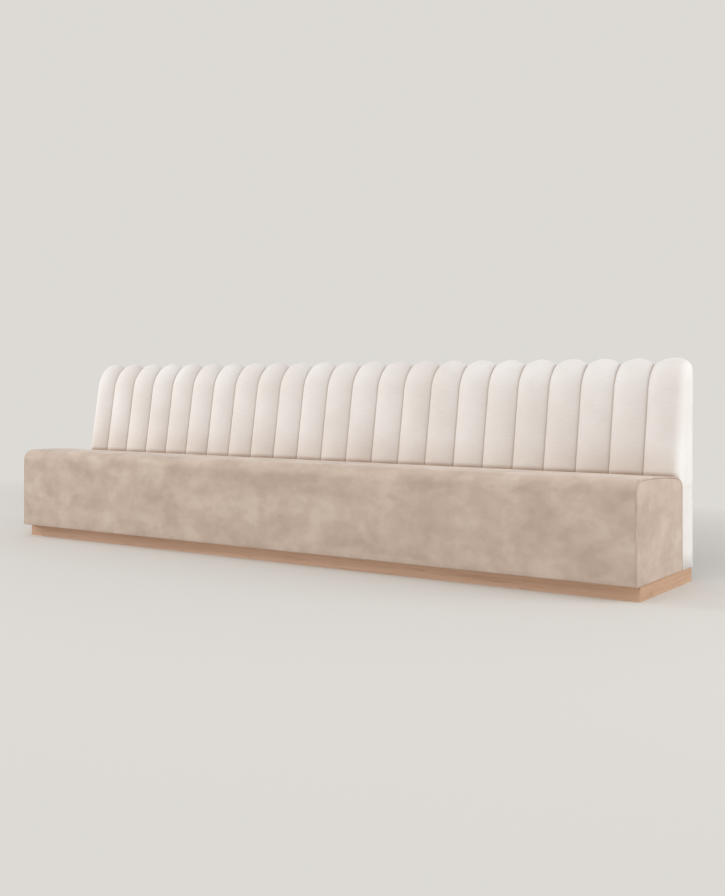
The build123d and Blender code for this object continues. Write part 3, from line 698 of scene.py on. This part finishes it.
# Columns from the left end to the right: X, share of the way from crest to seam, kind and flute
def backColumns():
    columns = []
    endX, lastFlute = back["halfLength"], back["flutes"] - 1
    pitch = 2 * endX / back["flutes"]
    lastSeam = endX - pitch
    seams = [-lastSeam + pitch * n + back["fieldShift"] for n in range(lastFlute)]
    steps = back["halfSteps"]
    ends = back["endSteps"]
    leftCrest = -endX + pitch / 2 + back["fieldShift"] / 2
    rightCrest = endX - pitch / 2 + back["fieldShift"] / 2
    for n in range(ends):
        share = cos(pi / 2 * n / ends)
        columns.append((leftCrest + (-endX - leftCrest) * share, share, "end", 0))
    for n in range(steps):
        share = sin(pi / 2 * n / steps)
        columns.append((leftCrest + (seams[0] - leftCrest) * share, share, "flute", 0))
    for k in range(1, lastFlute):
        middle, half = (seams[k - 1] + seams[k]) / 2, (seams[k] - seams[k - 1]) / 2
        for n in range(-steps, steps):
            share = sin(pi / 2 * n / steps)
            columns.append((middle + half * share, abs(share), "flute", k))
    for n in range(-steps, 1):
        share = sin(pi / 2 * n / steps)
        x = rightCrest + (rightCrest - seams[-1]) * share
        columns.append((x, abs(share), "flute", lastFlute))
    for n in range(1, ends + 1):
        share = sin(pi / 2 * n / ends)
        columns.append((rightCrest + (endX - rightCrest) * share, share, "end", lastFlute))
    return columns


def roundedDrop(share, depth, power):
    return depth * (1 - max(0.0, 1 - share**power) ** (1 / power))


def seamProfile(share, depth):
    pinch = back["seamPinch"] if share > back["stitchShare"] else 0.0
    return roundedDrop(share, depth, back["roundness"]) + pinch


def endProfile(share, depth):
    return roundedDrop(share, depth, back["endRoundness"])


# Painted shade beside a seam on its left, and below zero painted highlight on its right
def seamShade(share, kind, side):
    if kind == "end" or share < back["shadeFrom"]:
        return 0.0
    if share > back["stitchShare"]:
        return back["stitchShade"]
    near = (share - back["shadeFrom"]) / back["shadeReach"]
    return near * (back["paintedShadeFlank"] if side > 0 else back["paintedHighlightFlank"])


# The side faces run on down behind the seat to the plinth
def extendSides(bm):
    uvLayer = bm.loops.layers.uv.verify()
    sideX, rearY = back["halfLength"] - back["sideEdge"], back["seatRear"]
    low = [
        e
        for e in bm.edges
        if e.is_boundary
        and all(abs(v.co.z - back["ledge"]) < back["ledgeGap"] for v in e.verts)
        and all(abs(v.co.x) > sideX and v.co.y > rearY for v in e.verts)
    ]
    drop = (back["plinthTop"] - back["ledge"]) / back["lowRows"]
    for n in range(back["lowRows"]):
        made = bmesh.ops.extrude_edge_only(bm, edges=low)["geom"]
        verts = [g for g in made if isinstance(g, bmesh.types.BMVert)]
        edges = [g for g in made if isinstance(g, bmesh.types.BMEdge)]
        bmesh.ops.translate(bm, verts=verts, vec=(0, 0, drop))
        low = [e for e in edges if all(v in verts for v in e.verts)]
        for face in {f for v in verts for f in v.link_faces}:
            for loop in face.loops:
                loop[uvLayer].uv = (loop.vert.co.y + back["sideRunU"], loop.vert.co.z)


def makeBack():
    rows = backRows()
    footY, footZ = rows[back["straightRows"]][:2]
    columns = backColumns()
    rearRows = back["rearRows"]
    turnRows = rearRows - 2
    sideShares = back["sideShares"]
    sideCount = len(sideShares) + 2
    frontEdge = len(rows) - 1
    allRows = frontEdge + rearRows
    headingFoot = rows[0][2]

    def skin(column, row):
        x, share, kind, flute = columns[column]
        y, z, heading = rows[min(row, frontEdge)]
        lift = sin(pi / 2 * (headingFoot - heading) / headingFoot)
        if row < back["straightRows"]:
            if kind == "end":
                lowDepth = endProfile(share, back["endLowDrop"])
            else:
                lowDepth = seamProfile(share, back["seamDepth"])
            curl = back["footCurl"] * (1 - share ** back["foldPower"])
            lowZ = seatTopAt(rows[2][0] + lowDepth + curl, back["ledge"])
            z = lowZ + (footZ - lowZ) * (row / back["straightRows"]) ** back["footEase"]
            y = footY - (footZ - z) / tan(radians(heading))
            y += curl * max(0.0, 1 - (z - lowZ) / back["footCurlReach"]) ** 2
        if kind == "end":
            low = min(1.0, max(0.0, (z - back["ledge"]) / back["endLowReach"]))
            low = low * low * (3 - 2 * low)
            drop = back["endLowDrop"] + (back["endDrop"] - back["endLowDrop"]) * low
            depth = endProfile(share, drop)
        else:
            full = back["seamDepth"] + (back["seamDepthTop"] - back["seamDepth"]) * lift
            depth = seamProfile(share, full)
        if share < back["unevenShare"]:
            seed = flute * back["unevenStep"]
            depth += ripple((x, y, z), back["unevenSize"], back["unevenness"], seed)
        y += depth * sin(radians(heading))
        z -= depth * cos(radians(heading)) if row >= back["straightRows"] else 0.0
        over = row - frontEdge
        if over > 0:
            turn = min(1.0, over / turnRows) * pi / 2
            radius = back["rearRound"]
            tuckIn = back["rearEdge"] * share ** back["foldPower"] if kind == "end" else 0.0
            y += (back["rearFace"] - tuckIn - back["apex"][0]) * sin(turn)
            z -= radius * (1 - cos(turn))
            if over > turnRows:
                z += (back["rearBottom"] - z) * (over - turnRows) / (rearRows - turnRows)
        return Vector((x, y, z))

    def place(i, j):
        inner = i - sideCount
        if 0 <= inner < len(columns):
            return skin(inner, j)
        left = inner < 0
        step = -inner if left else inner - len(columns) + 1
        edge = skin(0 if left else len(columns) - 1, j)
        side = -1 if left else 1
        rearZ = back["ledge"] + (back["rearBottom"] - back["ledge"]) * min(1.0, j / frontEdge)
        rearY = back["rearFace"] - back["rearEdge"]
        if step <= len(sideShares):
            return edge.lerp(Vector((edge.x, rearY, rearZ)), sideShares[step - 1])
        turnIn = back["rearEdge"] if step == len(sideShares) + 1 else back["rearHem"]
        return Vector((edge.x - side * turnIn, back["rearFace"], rearZ))

    columnCount = len(columns) + 2 * sideCount - 1
    midRow = len(rows) // 3
    across = runningLength([place(i, midRow) for i in range(columnCount + 1)])
    along = runningLength([place(columnCount // 2, j) for j in range(allRows + 1)])

    def shade(i):
        inner = i - sideCount
        if not 0 <= inner < len(columns):
            return 0.0
        before = columns[max(0, inner - 1)][1]
        return seamShade(columns[inner][1], columns[inner][2], columns[inner][1] - before)

    bm = gridPiece(columnCount, allRows, place, across, along, shade)
    extendSides(bm)
    bmesh.ops.remove_doubles(bm, verts=bm.verts, dist=mergeGap)
    bmesh.ops.dissolve_degenerate(bm, dist=back["sliver"], edges=bm.edges)
    piece = finishPiece(
        "back_upholstery",
        bm,
        finishes["cream"],
        (
            "back_cover",
            "back_channel_foams",
            "back_left_end_cover",
            "back_right_end_cover",
            "back_left_end_foam",
            "back_right_end_foam",
        ),
    )
    padding = piece.modifiers.new("padding", "SOLIDIFY")
    padding.thickness = back["padDepth"]
    padding.offset = -1


makeBack()

# Rear cloth, stretched over the rear panel

# Its cream finish paints the contact shadow of the back's foot on it too, darker from seat height
# down
rearCloth = {
    "low": (-1.6985, 0.3046, 0.0605),
    "high": (1.6985, 0.3062, 0.872),
    "columns": 96,
    "rows": 26,
    "puff": 0.0003,
    "puffSize": 0.25,
    "edgeDip": 0.0005,
}


def makeRearCloth():
    low, high = rearCloth["low"], rearCloth["high"]
    columns, rows = rearCloth["columns"], rearCloth["rows"]
    spanX, spanZ = high[0] - low[0], high[2] - low[2]

    def place(i, j):
        x, z = low[0] + spanX * i / columns, low[2] + spanZ * j / rows
        if min(i, columns - i, j, rows - j) == 0:
            return Vector((x, high[1] - rearCloth["edgeDip"], z))
        return Vector((x, high[1] + ripple((x, 0, z), rearCloth["puffSize"], rearCloth["puff"]), z))

    across = [spanX * i / columns for i in range(columns + 1)]
    along = [spanZ * j / rows for j in range(rows + 1)]
    bm = gridPiece(columns, rows, place, across, along)
    bmesh.ops.reverse_faces(bm, faces=bm.faces)
    bmesh.ops.solidify(bm, geom=list(bm.faces), thickness=high[1] - low[1])
    piece = finishPiece(
        "back_rear_cloth", bm, finishes["cream"], ("back_rear_cover",), sharp=50
    )


makeRearCloth()
print("back made")

# Seat: a padded box, one length of suede over the front, the top edge, the crown and the rear


def makeSeat():
    hem, bottom, feltTop = seat["hem"], seat["bottom"], seat["feltTop"]
    foot, span = seat["frameFront"], seat["rear"] - seat["frameFront"]
    turnUnder = [(foot, bottom), (seat["front"] + hem, bottom)]
    fold = hem * seat["hemFold"]
    turnUnder.append((seat["front"] + fold, bottom + fold))
    flat, up = seat["innerRows"], seat["innerFrontRows"]
    inner = [(foot + span * (1 - n / flat), feltTop) for n in range(1, flat + 1)]
    inner += [(foot, feltTop + (bottom - feltTop) * n / up) for n in range(1, up + 1)]
    section = turnUnder + seatSkin + inner
    firstSkin, lastSkin = 2, len(turnUnder) + len(seatSkin) - 1
    half = seat["clothHalf"]
    edgeRoll, edgePulls = seat["edgeRoll"], seat["edgePulls"]
    stations = [-half + e for e in edgeRoll]
    inside = seat["columns"] - 2 * len(edgeRoll)
    step = 2 * (half - edgeRoll[-1]) / (inside + 1)
    stations += [-half + edgeRoll[-1] + step * n for n in range(1, inside + 1)]
    stations += [half - e for e in reversed(edgeRoll)]

    def place(i, j):
        x = stations[i]
        y, z = section[j]
        if firstSkin < j < lastSkin:
            before, after = section[j - 1], section[j + 1]
            dy, dz = after[0] - before[0], after[1] - before[1]
            size = hypot(dy, dz)
            out = (-dz / size, dy / size)
            fromEnd = min(i, len(stations) - 1 - i)
            lift = -edgePulls[fromEnd] if fromEnd < len(edgePulls) else 0.0
            taper = min(1.0, (z - bottom) / seat["evenFoot"])
            swell = ripple((x, y, z), seat["unevenSize"], seat["unevenness"], seat["unevenSeed"])
            lift += (swell - seat["settle"]) * taper
            y += out[0] * lift
            z += out[1] * lift
        return Vector((x, y, z))

    across = [x + seat["runStart"] for x in stations]
    along = runningLength([(y, z, 0) for y, z in section])
    bm = gridPiece(len(stations) - 1, len(section) - 1, place, across, along)
    closeShell(bm)
    piece = finishPiece(
        "seat_upholstery",
        bm,
        finishes["suede"],
        ("seat_cover", "seat_foam", "seat_front_foam"),
        sharp=50,
    )


makeSeat()

# Flat padded ends of the seat, with a welt round each

seatEnd = {
    "outer": 1.7000,
    "inner": 1.6904,
    "inset": 0.0073,
    # further in from the welt, and back from the outer face
    "rings": ((0.0, 0.0028), (0.0004, 0.0014), (0.0013, 0.0006), (0.0028, 0.0002), (0.006, 0.0)),
    "footSteps": 12,
    "runU": 4.1,        # where each end's cloth lies in the suede's pattern
    "runV": 0.3,
}
welt = {"radius": 0.0034, "x": 1.6965, "inset": 0.0036, "sides": 12}


def makeSeatEnd(side, sideName):
    base = seatEnd["inset"]
    rings = [(base, seatEnd["inner"])]
    rings += [(base + further, seatEnd["outer"] - sunk) for further, sunk in seatEnd["rings"]]
    steps = seatEnd["footSteps"]
    loops = []
    for inset, x in rings:
        low = seat["bottom"] + inset - base
        outline = seatOutline(inset, low, low)
        (firstY, z), lastY = outline[0], outline[-1][0]
        outline += [(lastY + (firstY - lastY) * n / steps, z) for n in range(1, steps + 1)]
        loops.append([Vector((side * x, y, z)) for y, z in outline])
    rows = len(loops[0]) - 1
    run = runningLength(loops[0])
    bm = gridPiece(len(loops) - 1, rows, lambda i, j: loops[i][j], [0.0] * len(loops), run)
    closeShell(bm)
    uvLayer = bm.loops.layers.uv.verify()
    for face in bm.faces:
        for loop in face.loops:
            spot = loop.vert.co
            loop[uvLayer].uv = (spot.y + seatEnd["runU"] * side, spot.z + seatEnd["runV"])
    piece = finishPiece(
        f"seat_{sideName}_end_upholstery",
        bm,
        finishes["suede"],
        (f"seat_{sideName}_end_cover", f"seat_{sideName}_end_foam"),
        sharp=50,
    )


def makeWelt(side, sideName):
    path = seatOutline(welt["inset"], seat["bottom"], seat["bottom"])
    rows = len(path) - 1
    sides = welt["sides"]
    run = runningLength([(y, z, 0) for y, z in path])

    def place(i, j):
        before, after = path[max(0, j - 1)], path[min(rows, j + 1)]
        dy, dz = after[0] - before[0], after[1] - before[1]
        size = hypot(dy, dz)
        out = (-dz / size, dy / size)
        turn = 2 * pi * i / sides
        r = welt["radius"]
        y = path[j][0] + out[0] * r * cos(turn)
        z = path[j][1] + out[1] * r * cos(turn)
        return Vector((side * welt["x"] + r * sin(turn), y, z))

    across = [2 * pi * welt["radius"] * i / sides for i in range(sides + 1)]
    bm = gridPiece(sides, rows, place, across, run)
    closeShell(bm)
    finishPiece(
        f"seat_{sideName}_piping",
        bm,
        finishes["suede"],
        (f"seat_{sideName}_welt",),
        sharp=60,
    )


for side, sideName in ((-1, "left"), (1, "right")):
    makeSeatEnd(side, sideName)
    makeWelt(side, sideName)

# Felt over the springs

felt = {
    "low": (-1.6895, -0.2955, 0.3503),
    "high": (1.6895, 0.1835, 0.3538),
    "thickness": 0.0024,
    "columns": 120,
    "rows": 18,
    "sag": 0.0008,
    "sagSize": 0.08,
}


def makeFeltSheet():
    low, high = felt["low"], felt["high"]
    columns, rows = felt["columns"], felt["rows"]
    spanX, spanY = high[0] - low[0], high[1] - low[1]

    def place(i, j):
        x, y = low[0] + spanX * i / columns, low[1] + spanY * j / rows
        return Vector((x, y, high[2] - abs(ripple((x, y, 0), felt["sagSize"], felt["sag"]))))

    across = [spanX * i / columns for i in range(columns + 1)]
    along = [spanY * j / rows for j in range(rows + 1)]
    bm = gridPiece(columns, rows, place, across, along)
    bmesh.ops.solidify(bm, geom=list(bm.faces), thickness=felt["thickness"])
    piece = finishPiece("seat_felt_sheet", bm, finishes["felt"], ("seat_felt",), sharp=50)


makeFeltSheet()
print("seat made")

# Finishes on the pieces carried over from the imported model

nodeFinishes = {
    "plinth_front_board": "plinthFront",
    "plinth_rear_board": "plinthFront",
    "plinth_left_board": "plinthSide",
    "plinth_right_board": "plinthSide",
    "plinth_cross_members": "pineDeep",
    "plinth_screws": "zinc",
    "leveller_blocks": "pineLong",
    "leveller_tee_nuts": "zinc",
    "seat_base_board": "ply",
    "seat_front_panel": "ply",
    "seat_rear_panel": "ply",
    "seat_left_end_panel": "ply",
    "seat_right_end_panel": "ply",
    "seat_ribs": "pineDeep",
    "seat_top_front_rail": "pineLong",
    "seat_top_rear_rail": "pineLong",
    "seat_springs": "spring",
    "spring_clips": "zinc",
    "back_base_board": "ply",
    "back_bottom_rail": "pineLong",
    "back_mid_rail": "pineLong",
    "back_ledge_rail": "pineLong",
    "back_bolt_rail": "pineLong",
    "back_posts": "pineTall",
    "back_left_end_panel": "ply",
    "back_right_end_panel": "ply",
    "back_face_board": "ply",
    "back_top_rail": "pineLong",
    "back_rear_panel": "ply",
    "back_bolts": "zinc",
    "back_bolt_nuts": "zinc",
}
for number in range(1, 7):
    nodeFinishes[f"leveller_pad_{number}"] = "plastic"
    nodeFinishes[f"leveller_stud_{number}"] = "zinc"

for nodeName, finishName in nodeFinishes.items():
    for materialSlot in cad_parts[nodeName].material_slots:
        materialSlot.material = finishes[finishName]
print("carried-over nodes dressed,", len(nodeFinishes))

# Floor

bm = bmesh.new()
bmesh.ops.create_grid(bm, x_segments=1, y_segments=1, size=studio["floorHalf"])
floorMesh = bpy.data.meshes.new("studioFloor")
bm.to_mesh(floorMesh)
bm.free()
floor = bpy.data.objects.new("studioFloor", floorMesh)
scene.collection.objects.link(floor)
floorFinish, floorTree, floorShader = newFinish("studioFloorPaint", 0.9)
floorShader.inputs["Base Color"].default_value = paint(*studio["floor"])
farTone = addNode(floorTree, "ShaderNodeEmission", {"Color": paint(*studio["backdrop"])})
rounds = addNode(floorTree, "ShaderNodeTexGradient", gradient_type="SPHERICAL")
nearShares = [1 / reach for reach in studio["floorReach"]]
floorTree.links.new(coordinates(floorTree, "Object", nearShares), rounds.inputs["Vector"])
fade = addNode(floorTree, "ShaderNodeMapRange", {"From Min": 0.0, "From Max": studio["fadeShare"]})
floorMix = floorTree.nodes.new("ShaderNodeMixShader")
floorTree.links.new(rounds.outputs["Fac"], fade.inputs["Value"])
floorTree.links.new(fade.outputs["Result"], floorMix.inputs[0])
floorTree.links.new(farTone.outputs[0], floorMix.inputs[1])
floorTree.links.new(floorShader.outputs[0], floorMix.inputs[2])
floorTree.links.new(floorMix.outputs[0], floorTree.nodes["Material Output"].inputs["Surface"])
floorMesh.materials.append(floorFinish)
